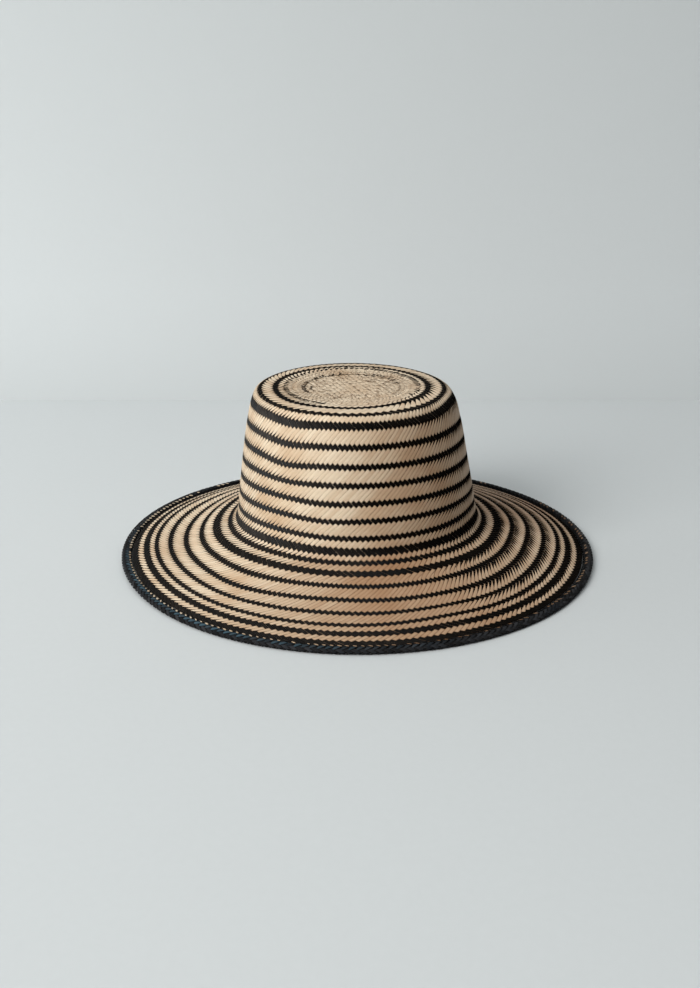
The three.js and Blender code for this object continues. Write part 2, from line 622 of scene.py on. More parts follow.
class StrawMesh:
    """Gathers ribbons and turns them into one mesh with a straw UV map and three attributes."""

    CORNERS = 5
    ACROSS = (0.0, 0.08, 0.92, 1.0, 0.5)
    UV_NAME = "straw"
    UV_PER_MM = 0.1
    UV_STEP = 0.37
    LAYERS = ("tone", "shade_and_sheen", "shade_and_tan")
    SHARP_ANGLE = 38.0

    def __init__(self) -> None:
        """Starts with no ribbons."""
        self.points: list[Array] = []
        self.quads: list[Array] = []
        self.ends: list[Array] = []
        self.maps: list[Array] = []
        self.values: list[Array] = []
        self.count = 0

    def add(self, points: Array, tone: Array, shade_and_sheen: Array, shade_and_tan: Array) -> None:
        """Adds a block of ribbons that all have the same number of cuts.

        Args:
            points: Straw, cut, corner and x, y, z. Corners go left edge, two on top, right edge, under.
            tone: One value for each straw, from pale to dark.
            shade_and_sheen: One value for each straw and cut, for a second colour: painted shade where
                straws tuck under and at the tip's gaps, and on the braid a painted bluish sheen.
            shade_and_tan: One value for each point, for the colour's depth: painted shade, with the
                natural straw's own tan.
        """
        shape = points.shape[:3]
        straws, cuts, corners = shape
        index = self.count + np.arange(straws * cuts * corners).reshape(shape)
        near, far = index[:, :-1, :], index[:, 1:, :]
        quads = np.stack((near, far, np.roll(far, -1, 2), np.roll(near, -1, 2)), -1)
        self.quads.append(quads.reshape(-1, 4))
        self.ends.append(np.concatenate((index[:, 0, :], index[:, -1, ::-1])))
        self.points.append(points.reshape(-1, 3))
        steps = np.linalg.norm(np.diff(points.mean(2), axis=1), axis=-1)
        along = np.concatenate((np.zeros((straws, 1)), np.cumsum(steps, 1)), 1) / MM * self.UV_PER_MM
        length = along[:, :, None] + self.UV_STEP * np.arange(straws)[:, None, None]
        across, length = np.broadcast_arrays(np.array(self.ACROSS), length)
        self.maps.append(np.stack((across, length), -1).reshape(-1, 2))
        values = (tone[:, None, None], shade_and_sheen[:, :, None], shade_and_tan)
        self.values.append(np.stack([np.broadcast_to(value, shape).reshape(-1) for value in values]))
        self.count += index.size

    def build(self, name: str, material: Material) -> Piece:
        """Makes the object.

        Args:
            name: The piece's name.
            material: Its finish.

        Returns:
            The new object, at the origin.
        """
        quads = np.concatenate(self.quads)
        ends = np.concatenate(self.ends)
        corners = np.concatenate((quads.reshape(-1), ends.reshape(-1)))
        sizes = np.concatenate((np.full(len(quads), 4), np.full(len(ends), self.CORNERS)))
        starts = np.concatenate(([0], np.cumsum(sizes)[:-1]))
        mesh = bpy.data.meshes.new(name)
        mesh.vertices.add(self.count)
        mesh.vertices.foreach_set("co", np.concatenate(self.points).astype(np.float32).reshape(-1))
        mesh.loops.add(len(corners))
        mesh.loops.foreach_set("vertex_index", corners.astype(np.int32))
        mesh.polygons.add(len(sizes))
        mesh.polygons.foreach_set("loop_start", starts.astype(np.int32))
        mesh.update(calc_edges=True)
        mesh.uv_layers.new(name=self.UV_NAME)
        maps = np.concatenate(self.maps).astype(np.float32)
        mesh.uv_layers[self.UV_NAME].data.foreach_set("uv", maps[corners].reshape(-1))
        for layer, values in zip(self.LAYERS, np.concatenate(self.values, 1)):
            attribute = mesh.attributes.new(layer, "FLOAT", "POINT")
            attribute.data.foreach_set("value", values.astype(np.float32))
        mesh.polygons.foreach_set("use_smooth", np.ones(len(sizes), bool))
        mesh.set_sharp_from_angle(angle=math.radians(self.SHARP_ANGLE))
        mesh.materials.append(material)
        mesh.validate()
        return add_object(name, mesh)


@dataclass(frozen=True)
class StrawCut:
    """How one kind of straw is cut and how it lies in the plait.

    Widths are shares of the pitch, lengths along a straw are rows, and heights are
    millimetres. draw is how much of its width a straw loses where a band's straws are
    drawn together, over up to inner_rows and outer_rows from the band's two ends, and
    loosen how much it loses all along where the inner ends are drawn together.
    """

    fill: float = 0.995
    pinch: float = 0.04
    thickness: float = 0.14
    rise: float = 0.11
    middle_depth: float = 0.3
    width_spread: float = 0.03
    shift_spread: float = 0.02
    tilt: float = 0.035
    tilt_spread: Pair = (-0.6, 1.0)
    proud: float = 0.03
    corner_across: tuple[float, ...] = (-0.5, -0.42, 0.42, 0.5, 0.0)
    corner_height: tuple[float, ...] = (0.15, 0.5, 0.5, 0.15, -0.5)
    turn_over: float = 0.13
    turn_over_level: float = 0.9
    sink_rows: float = 1.2
    least_gap: float = 0.05
    tone_spread: float = 1.0
    draw: float = 0.0
    inner_rows: float = 3.4
    short_rows: float = 0.9
    whole_rows: float = 1.6
    outer_rows: float = 1.8
    draw_spread: Pair = (0.7, 1.1)
    loosen: float = 0.0

    @property
    def across(self) -> Array:
        """Where a cut's corners lie across the straw."""
        return np.array(self.corner_across)

    @property
    def lift(self) -> Array:
        """How high a cut's corners lie over its middle, in millimetres."""
        return self.thickness * np.array(self.corner_height)


@dataclass(frozen=True)
class Opening:
    """A ring of the tip where the straws are drawn together, so that gaps show between them.

    share and front_share are the width that is kept there, and dark is how much painted shade it gets,
    which stands for the shade in its gaps.
    """

    row: float
    spread: float
    share: float
    front_share: float
    dark: float = 0.0
    front: Fade = Fade(20.0, 65.0)
    front_pale: float = 0.5
    share_spread: Pair = (0.8, 1.1)
    dark_most: float = 1.5

    def kept(self, along: Array, turn: Array, chance: Chance) -> Array:
        """The share of the width that straws keep.

        Args:
            along: Row of each cut.
            turn: Angle round the hat of each straw at each cut.
            chance: The run of chance.

        Returns:
            One share for each straw and cut.
        """
        front = self.front.at(np.abs(degrees_from(turn)))
        lost = 1.0 - self.share - (self.front_share - self.share) * front
        uneven = chance.uniform(*self.share_spread, (len(turn), 1))
        return 1.0 - lost * bell(along, self.row, self.spread) * uneven

    def brown_shade(self, along: Array, turn: Array, chance: Chance) -> Array:
        """How much painted shade straws get at the opening's gaps.

        Args:
            along: Row of each cut.
            turn: Angle round the hat of each straw at each cut.
            chance: The run of chance.

        Returns:
            One share for each straw and cut.
        """
        front = self.front.at(np.abs(degrees_from(turn)))
        brown_shade = self.dark * bell(along, self.row, self.spread) * (1.0 - self.front_pale * front)
        uneven = self.dark_most * chance.uniform(0.0, 1.0, (len(turn), 1)) ** 2
        return np.minimum(brown_shade * uneven, 1.0)


@dataclass
class PlaitedPart:
    """A part of the plait made of straws of one set and one colour."""

    name: str
    plait: Plait
    side: Side
    cut: StrawCut
    seed: int
    openings: tuple[Opening, ...] = ()
    shade: Side | None = None
    mesh: StrawMesh = field(default_factory=StrawMesh)

    def __post_init__(self) -> None:
        """Starts the part's own run of chance."""
        self.chance = np.random.default_rng(self.seed)

    def _on_top(self, row: int) -> bool:
        """Whether this set lies on top in a row."""
        return self.plait.natural_on_top(row) == (self.side is Side.RISING)

    def _cuts(self, first: float, last: float) -> tuple[Array, Array, Array]:
        """Where a straw is cut between two rows.

        Args:
            first: Row at which the straw starts.
            last: Row at which it ends.

        Returns:
            Row of each cut, its level from -1 under to 1 on top, and how pinched it is.
        """
        cuts: dict[float, tuple[float, float]] = {}
        for row in range(math.floor(first) - 1, math.ceil(last) + 2):
            level = 1.0 if self._on_top(row) else -1.0
            cuts[float(row)] = (level, 0.0)
            if self._on_top(row) != self._on_top(row + 1):
                edge = row + 0.5
                before = self.cut.turn_over_level * level
                cuts[edge - self.cut.turn_over] = (before, 0.5)
                cuts[edge] = (0.0, 1.0)
                cuts[edge + self.cut.turn_over] = (-before, 0.5)
        rows = np.array(sorted(cuts))
        levels = np.array([cuts[row][0] for row in rows])
        pinches = np.array([cuts[row][1] for row in rows])
        between = (rows > first + self.cut.least_gap) & (rows < last - self.cut.least_gap)
        kept = np.concatenate(([first], rows[between], [last]))
        return kept, np.interp(kept, rows, levels), np.interp(kept, rows, pinches)

    def _width(self, along: Array, level: Array, turn: Array) -> Array:
        """The share of the full width that straws keep at each cut.

        Args:
            along: Row of each cut.
            level: Level of each cut.
            turn: Angle round the hat of each straw at each cut.

        Returns:
            One share for each straw and cut.
        """
        from_inner, to_outer = self.plait.band_ends(along)
        inner, outer = self.plait.drawn(turn)
        cut = self.cut
        longest = np.clip(from_inner + to_outer - cut.whole_rows, cut.short_rows, cut.inner_rows)
        reach = cut.short_rows + (longest - cut.short_rows) * (1.0 + np.sin(turn)) / 2.0
        drawn = inner * np.clip(1.0 - (from_inner / reach) ** 2, 0.0, 1.0)
        drawn = np.maximum(drawn, outer * np.clip(1.0 - to_outer / cut.outer_rows, 0.0, 1.0))
        uneven = self.chance.uniform(*cut.draw_spread, (len(turn), 1))
        share = 1.0 - cut.draw * drawn * uneven * (level > -0.5) - cut.loosen * inner
        for opening in self.openings:
            share = share * opening.kept(along, turn, self.chance)
        return share

    def _painted_shade(self, along: Array, level: Array, turn: Array) -> Array:
        """How much painted shade the straws get at each cut: where they tuck under, and at the openings.

        Args:
            along: Row of each cut.
            level: Level of each cut.
            turn: Angle round the hat of each straw at each cut.

        Returns:
            One share for each straw and cut.
        """
        # Painted shade where a straw dives under the next one, darkest halfway down.
        shade_and_sheen = np.broadcast_to(np.clip(1.0 - np.abs(level), 0.0, 1.0)[None, :], turn.shape)
        for opening in self.openings:
            shade_and_sheen = np.maximum(shade_and_sheen, opening.brown_shade(along, turn, self.chance))
        return shade_and_sheen

    def lay(self, straws: Array, first: float, last: float, join: Joining | None,
            sink_start: bool = False) -> None:
        """Lays straws between two rows.

        Args:
            straws: Straw numbers.
            first: Row at which they start.
            last: Row at which they end.
            join: The joining that they grow through, or None on the tip.
            sink_start: Whether the straws start from under the others.
        """
        along, level, pinch = self._cuts(first, last)
        if sink_start:
            level = np.minimum(level, -1.0 + 2.0 * smooth_step(first, first + self.cut.sink_rows, along))
        one_each = (len(straws), 1, 1)
        straw = straws[:, None, None].astype(float)
        middle = self.plait.turn(self.side, straw, np.zeros(1), along[None, :, None], join)[..., 0]
        width = self.cut.fill * (1.0 - self.cut.pinch * pinch) * self._width(along, level, middle)
        wide = 1.0 + self.cut.width_spread * self.chance.uniform(-1.0, 1.0, one_each)
        shift = self.cut.shift_spread * self.chance.uniform(-1.0, 1.0, one_each)
        tilt = self.cut.tilt * self.chance.uniform(*self.cut.tilt_spread, one_each)
        proud = self.cut.proud * self.chance.uniform(-1.0, 1.0, one_each)
        tone = self.chance.uniform(0.0, self.cut.tone_spread, len(straws))
        across = self.cut.across * width[:, :, None] * wide + shift
        row = along[None, :, None] + self.side.value * across
        turn = self.plait.turn(self.side, straw, across, row, join)
        run = self.plait.run(row, turn)
        over = level[None, :, None]
        lifted = self.cut.rise * over + self.cut.lift + proud - tilt * 2.0 * self.cut.across * (over > 0.0)
        points = self.plait.face.under(run, turn, (self.cut.middle_depth - lifted) * MM)
        shade_and_sheen = self._painted_shade(along, level, middle)
        self.mesh.add(points, tone, shade_and_sheen, self.plait.shade_and_tan_at(self.shade or self.side, run, turn))

    def lay_joined(self, first: float, last: float, join: Joining) -> None:
        """Lays the straws past a joining: those that come through it, and the new ones.

        Args:
            first: Row at which the straws that come through start.
            last: Row at which all of them end.
            join: The joining.
        """
        straws = np.arange(join.straws_after)
        added = np.mod(straws, join.group) >= join.kept
        self.lay(straws[~added], first, last, join)
        self.lay(straws[added], join.first_row + join.tuck_rows, last, join, sink_start=True)

    def finish(self, material: Material) -> None:
        """Turns the straws into the finished piece."""
        dress(self.mesh.build(self.name, material), "plaited_body")


@dataclass
class TipDisc:
    """The square-plaited disc in the middle of the tip, tucked under the first round row."""

    face: HatFace
    radius: float = 35.6
    pitch: float = 4.0
    turned: float = -0.42
    fill: float = 0.84
    depth: float = 0.85
    rise: float = 0.2
    uneven: float = 0.16
    most_brown_shade: float = 1.1
    tone_spread: float = 0.25
    cuts_per_pitch: int = 4
    cut: StrawCut = field(default_factory=StrawCut)
    seed: int = 5

    @property
    def top(self) -> float:
        """How far the disc's highest straws lie under the face."""
        return self.depth - self.rise - self.cut.thickness

    def lay(self, mesh: StrawMesh) -> None:
        """Adds the disc's two sets of straws to a mesh, each over one and under one.

        Args:
            mesh: The mesh that takes them.
        """
        chance = np.random.default_rng(self.seed)
        reach = int(self.radius / self.pitch)
        steps = self.cuts_per_pitch
        for quarter in (0, 1):
            angle = math.pi / 4.0 + self.turned + quarter * math.pi / 2.0
            for straw in range(-reach, reach + 1):
                half = math.sqrt(self.radius ** 2 - (straw * self.pitch) ** 2) / self.pitch
                along = np.arange(-math.floor(half * steps), math.floor(half * steps) + 1) / steps
                if len(along) < 2 * steps:
                    continue
                level = np.cos(math.pi * (along + straw + quarter))
                wide = self.fill * (1.0 + self.uneven * chance.uniform(-1.0, 1.0, (len(along), 1)))
                across = straw + self.uneven * chance.uniform(-1.0, 1.0) + self.cut.across * wide
                east = (along[:, None] * math.cos(angle) - across * math.sin(angle)) * self.pitch
                north = (along[:, None] * math.sin(angle) + across * math.cos(angle)) * self.pitch
                run = np.hypot(east, north) * MM
                turn = np.arctan2(east, -north)
                points = self.face.point(run, turn)
                points[..., 2] -= (self.depth - self.rise * level[:, None] - self.cut.lift) * MM
                # Painted shade where the disc's straws dive under each other.
                shade_and_sheen = (1.0 - np.abs(level)) * chance.uniform(0.0, self.most_brown_shade, (1, len(along)))
                tone = chance.uniform(0.0, self.tone_spread, 1)
                mesh.add(points[None], tone, np.minimum(shade_and_sheen, 1.0), np.zeros(1))


@dataclass(frozen=True)
class SlitRing:
    """A ring of small marks between the natural straws of the tip: dark slits of black straw, and
    elsewhere painted shade in the holes between the straws.

    Each arc is the angle of its middle and its half width in degrees, and the share of
    the straws that have one there. brown_shade is how much painted shade a mark gets, 0 for
    a slit of black straw, depth is in millimetres, and lean is in straws for each row.
    """

    row: float
    rows_long: float
    width: float
    arcs: tuple[Triple, ...] = ((0.0, 180.0, 0.65),)
    brown_shade: float = 0.0
    uneven: float = 0.3
    depth: float = 0.02
    lean: float = -0.25
    arc_edge: float = 12.0
    sway: float = 0.1
    least_brown_shade: float = 0.2
    end: float = 0.48
    cuts: int = 5
    cut: StrawCut = StrawCut()

    def lay(self, mesh: StrawMesh, plait: Plait, seed: int) -> None:
        """Adds the marks to a mesh, each a short pointed ribbon that shows on top.

        Args:
            mesh: The mesh that takes them.
            plait: The plait whose rows they follow.
            seed: Starts the run of chance.
        """
        chance = np.random.default_rng(seed)
        pitch = FULL_TURN / plait.tip_straws
        straw = np.arange(plait.tip_straws)
        share = np.zeros(len(straw))
        for middle, half, most in self.arcs:
            arc = Fade(half - self.arc_edge, half + self.arc_edge, most)
            share = np.maximum(share, arc.at(np.abs(degrees_from(straw * pitch, middle))))
        straw = straw[chance.uniform(0.0, 1.0, len(straw)) < share][:, None, None].astype(float)
        one_each = (len(straw), 1, 1)
        place = np.linspace(-self.end, self.end, self.cuts)[:, None]
        size = 1.0 + self.uneven * chance.uniform(-1.0, 1.0, one_each)
        across = self.cut.across * self.width * np.sqrt(1.0 - (2.0 * place) ** 2) * size
        row = self.row + place * self.rows_long * size
        row = row + self.uneven * chance.uniform(-1.0, 1.0, one_each)
        row, across = np.broadcast_arrays(row, across)
        sway = self.sway * chance.uniform(-1.0, 1.0, one_each)
        turn = (straw + across + sway + self.lean * (row - self.row)) * pitch
        run = plait.run(row, turn)
        points = plait.face.under(run, turn, (self.depth - self.cut.lift) * MM)
        shade_and_tan = plait.shade_and_tan_at(Side.RISING if self.brown_shade else Side.FALLING, run, turn)
        shade_and_sheen = self.brown_shade * chance.uniform(self.least_brown_shade, 1.0, (len(straw), 1)) * np.ones(self.cuts)
        mesh.add(points, chance.uniform(0.0, 1.0, len(straw)), shade_and_sheen, shade_and_tan)


@dataclass
class EdgeBraid:
    """The thick black braid round the rim: a hidden core and two sets of straws.

    Rows are numbered as in BraidFace, and heights are in millimetres. The straws round
    sheen_row carry a painted bluish sheen, strongest at the left front where the light
    falls, and those round shaded_row carry painted shade, which darkens the braid's inner
    side where the light strikes it. A fleck is the pale tip of a natural straw that is
    turned over the braid's inner side; away from the lit left it darkens with painted shade.
    """

    face: BraidFace = field(default_factory=BraidFace)
    cut: StrawCut = StrawCut()
    straws: int = 228
    rising_rows: tuple[int, ...] = (0, 3, 4, 7, 8, 11)
    start_row: float = 8.5
    cuts_per_row: int = 2
    turn_over: Pair = (0.1, 0.5)
    fill: float = 0.8
    width_spread: float = 0.06
    leaf_fill: float = 0.7
    leaf_taper: float = 0.5
    thickness: float = 0.6
    rise: float = 0.5
    height_spread: float = 0.08
    middle_depth: float = 0.75
    core_depth: float = 1.3
    core_turns: int = 144
    core_sides: int = 12
    core_merge: float = 0.05
    left_drift: float = 1.0
    drift: Fade = Fade(110.0, 150.0)
    drift_start: Pair = (35.0, 70.0)
    sheen_row: float = 3.5
    blue_reach: float = 1.3
    sheen_turn: float = -46.0
    sheen_spread: float = 38.0
    least_sheen: float = 0.1
    shaded_row: float = 1.0
    fleck_row: float = 2.4
    fleck_rows: float = 1.2
    fleck_width: float = 0.36
    fleck_lift: float = 0.22
    fleck_end: float = 0.5
    fleck_point: float = 1.9
    fleck_cuts: int = 5
    fleck_sizes: Pair = (0.6, 1.2)
    fleck_share: float = 0.55
    fleck_left: Fade = Fade(-15.0, 15.0, 0.35)
    fleck_back: Fade = Fade(95.0, 130.0, 0.4)
    fleck_lit: float = 70.0
    fleck_shade: Pair = (-15.0, 20.0)
    brown_shade_spread: Pair = (0.85, 1.0)
    seed: int = 11

    def _state(self, side: Side, row: float) -> float:
        """1 where a set lies on top of the braid and -1 where it lies under."""
        rising = int(row) % self.face.rows_round in self.rising_rows
        return 1.0 if rising == (side is Side.RISING) else -1.0

    def _levels(self, side: Side, along: Array) -> Array:
        """The level of a set at places along its straws, 0 halfway between over and under.

        Args:
            side: The set.
            along: Row of each place.

        Returns:
            The levels, from -1 under to 1 on top.
        """
        middle = np.round(along)
        step = np.where(along >= middle, 1.0, -1.0)
        own = np.array([self._state(side, row) for row in middle])
        other = np.array([self._state(side, row) for row in middle + step])
        share = smooth_step(*self.turn_over, np.abs(along - middle)) / 2.0
        return own * (1.0 - share) + other * share

    def _drift(self, turn: Array) -> Array:
        """How many rows farther in the braid's pattern lies, which is only so at the left."""
        left = -degrees_from(turn)
        return self.left_drift * smooth_step(*self.drift_start, left) * self.drift.at(left)

    def _near(self, along: Array, row: float) -> Array:
        """Where a straw is near one row of the section."""
        return np.abs(np.mod(along, self.face.rows_round) - row) < self.blue_reach

    def lay(self, side: Side, mesh: StrawMesh) -> None:
        """Lays one set of straws round the section.

        Args:
            side: The set.
            mesh: The mesh that takes the straws.
        """
        chance = np.random.default_rng(self.seed + side.value)
        one_each = (self.straws, 1, 1)
        pitch = FULL_TURN / self.straws
        steps = self.face.rows_round * self.cuts_per_row
        along = np.linspace(0.0, self.face.rows_round, steps + 1) + self.start_row
        level = self._levels(side, along)[:, None]
        straw = np.arange(self.straws).reshape(one_each)
        wide = 1.0 + self.width_spread * chance.uniform(-1.0, 1.0, one_each)
        fill = self.fill
        if side is Side.RISING:
            fill = self.leaf_fill * (1.0 - self.leaf_taper * (1.0 - np.abs(level)))
        across = self.cut.across * fill * wide * np.ones(level.shape)
        row = along[:, None] + side.value * across
        turn = (straw + across) * pitch - side.value * row * pitch / 2.0
        lifted = self.rise * level + self.thickness * np.array(self.cut.corner_height)
        lifted = lifted + self.height_spread * chance.uniform(-1.0, 1.0, one_each)
        points = self.face.place(row - self._drift(turn), turn, (self.middle_depth - lifted) * MM)
        tone = chance.uniform(0.0, 1.0, self.straws)
        # Painted bluish sheen, strongest at the left front where the light catches the braid.
        sheen = bell(degrees_from(turn[:, :, 0]), self.sheen_turn, self.sheen_spread)
        sheen = sheen * self._near(along, self.sheen_row)
        sheen = sheen * chance.uniform(self.least_sheen, 1.0, (self.straws, 1))
        if side is Side.FALLING:
            sheen = sheen * self.least_sheen
        # Painted shade on the braid's inner side, where the light strikes it.
        shaded = self._near(along, self.shaded_row).astype(float)
        mesh.add(points, tone, sheen, shaded[:, None])

    def lay_flecks(self, mesh: StrawMesh, plait: Plait) -> None:
        """Lays the tips of the natural straws on the braid's inner side.

        Args:
            mesh: The mesh that takes them.
            plait: The plait that they come from.
        """
        chance = np.random.default_rng(self.seed)
        pitch = FULL_TURN / self.straws
        straw = np.arange(self.straws)
        angle = degrees_from(straw * pitch)
        back = self.fleck_back.share - self.fleck_back.at(np.abs(angle))
        share = self.fleck_share + self.fleck_left.at(angle) - back
        straw = straw[chance.uniform(0.0, 1.0, self.straws) < share][:, None, None].astype(float)
        one_each = (len(straw), 1, 1)
        place = np.linspace(-self.fleck_end, self.fleck_end, self.fleck_cuts)[:, None]
        size = chance.uniform(*self.fleck_sizes, one_each)
        across = self.cut.across * self.fleck_width * np.sqrt(1.0 - (self.fleck_point * place) ** 2)
        across = across * chance.uniform(*self.fleck_sizes, one_each)
        turn = (straw + 0.5 + across + 0.5 * place * size) * pitch
        row = self.fleck_row + self.fleck_rows * place * size - across - self._drift(turn)
        points = self.face.place(row, turn, -(self.fleck_lift + self.cut.lift) * MM)
        # Painted shade: the flecks darken away from the lit left side.
        from_lit = np.abs(degrees_from(turn[:, :, 0]) + self.fleck_lit) - self.fleck_lit
        brown_shade = smooth_step(*self.fleck_shade, from_lit)
        brown_shade = brown_shade * chance.uniform(*self.brown_shade_spread, (len(straw), 1))
        run = np.full(turn.shape, self.face.hat.edge_run)
        mesh.add(points, np.zeros(len(straw)), brown_shade, plait.shade_and_tan_at(Side.RISING, run, turn))

    def core(self, material: Material) -> Piece:
        """Makes the dark core that the straws are plaited round.

        Args:
            material: The core's finish.

        Returns:
            The core.
        """
        builder = bmesh.new()
        bmesh.ops.create_circle(builder, cap_ends=False, segments=self.core_sides, radius=1.0)
        outline = sorted(builder.verts, key=lambda vert: math.atan2(vert.co.y, vert.co.x))
        for count, vert in enumerate(outline):
            row = np.array(self.face.rows_round * count / self.core_sides)
            vert.co = self.face.place(row, np.array(0.0), np.array(self.core_depth * MM))
        bmesh.ops.spin(builder, geom=builder.edges[:], cent=(0, 0, 0), axis=(0, 0, 1), dvec=(0, 0, 0),
                       angle=FULL_TURN, steps=self.core_turns, use_merge=True, use_duplicate=False)
        bmesh.ops.remove_doubles(builder, verts=builder.verts[:], dist=self.core_merge * MM)
        for vert in builder.verts:
            vert.co.z += float(self.face.lift(np.array(math.atan2(vert.co.x, -vert.co.y))))
        bmesh.ops.recalc_face_normals(builder, faces=builder.faces[:])
        piece = finish_bmesh("braid_core", builder, material)
        tone = piece.data.attributes.new(StrawMesh.LAYERS[0], "FLOAT", "POINT")
        tone.data.foreach_set("value", np.ones(len(piece.data.vertices), np.float32))
        return piece

    def build(self, fibre: Tree) -> None:
        """Builds the braid.

        Args:
            fibre: The shared group of the straw's grain.
        """
        blue_black = BLUE_BLACK.make(fibre)
        mesh = StrawMesh()
        for side in Side:
            self.lay(side, mesh)
        dress(mesh.build("braid_straws", blue_black), "edge_braid")
        dress(self.core(blue_black), "edge_braid")


def feed(socket: Socket, value: object) -> None:
    """Links another socket to a socket, or sets it to a plain value.

    Args:
        socket: The socket.
        value: A socket, a number or a colour.
    """
    if isinstance(value, Socket):
        socket.id_data.links.new(value, socket)
    else:
        socket.default_value = value


def add_node(tree: Tree, kind: str, fed: dict | None = None, **values: object) -> Node:
    """Adds a shader node.

    Args:
        tree: The tree that takes the node.
        kind: The node's type.
        fed: What its sockets are fed with, by name or number.
        **values: Its own settings by name.

    Returns:
        The new node.
    """
    node = tree.nodes.new(kind)
    for name, value in values.items():
        setattr(node, name, value)
    for name, value in (fed or {}).items():
        feed(node.inputs[name], value)
    return node


def math_node(tree: Tree, operation: str, first: object, second: object = 0.0,
              clamp: bool = False) -> Socket:
    """Adds a Math node and gives its output."""
    values = {"operation": operation, "use_clamp": clamp}
    return add_node(tree, "ShaderNodeMath", {0: first, 1: second}, **values).outputs[0]


def mix_color(tree: Tree, share: Socket, first: object, second: object, blend: str = "MIX") -> Socket:
    """Adds a node that mixes two colours and gives its output."""
    fed = {0: share, 6: first, 7: second}
    return add_node(tree, "ShaderNodeMix", fed, data_type="RGBA", blend_type=blend).outputs[2]


def noise(tree: Tree, place: Socket, scale: float, detail: float) -> Socket:
    """Adds a Noise Texture node and gives its mask."""
    fed = {"Vector": place, "Scale": scale, "Detail": detail}
    return add_node(tree, "ShaderNodeTexNoise", fed).outputs["Fac"]


def spread_out(tree: Tree, value: Socket, low: float, high: float, most: float = 1.0) -> Socket:
    """Adds a node that takes low to 0 and high to the most, and gives its output."""
    fed = {"Value": value, "From Min": low, "From Max": high, "To Max": most}
    return add_node(tree, "ShaderNodeMapRange", fed).outputs[0]


def choose(tree: Tree, choice: Socket, first: Node, second: Node, output: str) -> None:
    """Makes a tree's output the first shader where the choice is 0 and the second where it is 1."""
    fed = {0: choice, 1: first.outputs[0], 2: second.outputs[0]}
    feed(tree.nodes[output].inputs["Surface"], add_node(tree, "ShaderNodeMixShader", fed).outputs[0])


def new_shader(name: str, roughness: float) -> tuple[Material, Node]:
    """Makes a material.

    Args:
        name: Its name.
        roughness: Its roughness.

    Returns:
        The material and its Principled shader.
    """
    material = bpy.data.materials.new(name)
    material.use_nodes = True
    shader = material.node_tree.nodes["Principled BSDF"]
    shader.inputs["Roughness"].default_value = roughness
    return material, shader


def finish_bmesh(name: str, builder: bmesh.types.BMesh, material: Material) -> Piece:
    """Turns a bmesh into an object.

    Args:
        name: The object's name.
        builder: The bmesh, which is freed.
        material: Its finish.

    Returns:
        The object, at the origin.
    """
    mesh = bpy.data.meshes.new(name)
    builder.to_mesh(mesh)
    builder.free()
    mesh.materials.append(material)
    return add_object(name, mesh)


def straw_fibre_group() -> Tree:
    """Builds the shared group of the straw's grain: fine lines along it, and a mask of its two sides, the
    seams.

    Returns:
        The group, with a Grain mask, an Edge mask and a Height.
    """
    group = bpy.data.node_groups.new("straw_fibre", "ShaderNodeTree")
    for name, value in (("Lines", 9.0), ("Length Scale", 2.2), ("Edge Width", 0.18)):
        socket = group.interface.new_socket(name=name, in_out="INPUT", socket_type="NodeSocketFloat")
        socket.default_value = value
    for name in ("Grain", "Edge", "Height"):
        group.interface.new_socket(name=name, in_out="OUTPUT", socket_type="NodeSocketFloat")
    given = add_node(group, "NodeGroupInput").outputs
    straw = add_node(group, "ShaderNodeUVMap", uv_map=StrawMesh.UV_NAME).outputs["UV"]
    parts = add_node(group, "ShaderNodeSeparateXYZ", {0: straw}).outputs
    across = math_node(group, "MULTIPLY", parts["X"], given["Lines"])
    along = math_node(group, "MULTIPLY", parts["Y"], given["Length Scale"])
    stretched = add_node(group, "ShaderNodeCombineXYZ", {0: across, 1: along}).outputs[0]
    grain = noise(group, stretched, scale=1.0, detail=2.0)
    from_middle = math_node(group, "ABSOLUTE", math_node(group, "SUBTRACT", parts["X"], 0.5))
    to_edge = math_node(group, "SUBTRACT", 0.5, from_middle)
    near = math_node(group, "DIVIDE", to_edge, given["Edge Width"])
    edge = math_node(group, "SUBTRACT", 1.0, near, clamp=True)
    height = math_node(group, "SUBTRACT", grain, edge)
    add_node(group, "NodeGroupOutput", {"Grain": grain, "Edge": edge, "Height": height})
    return group


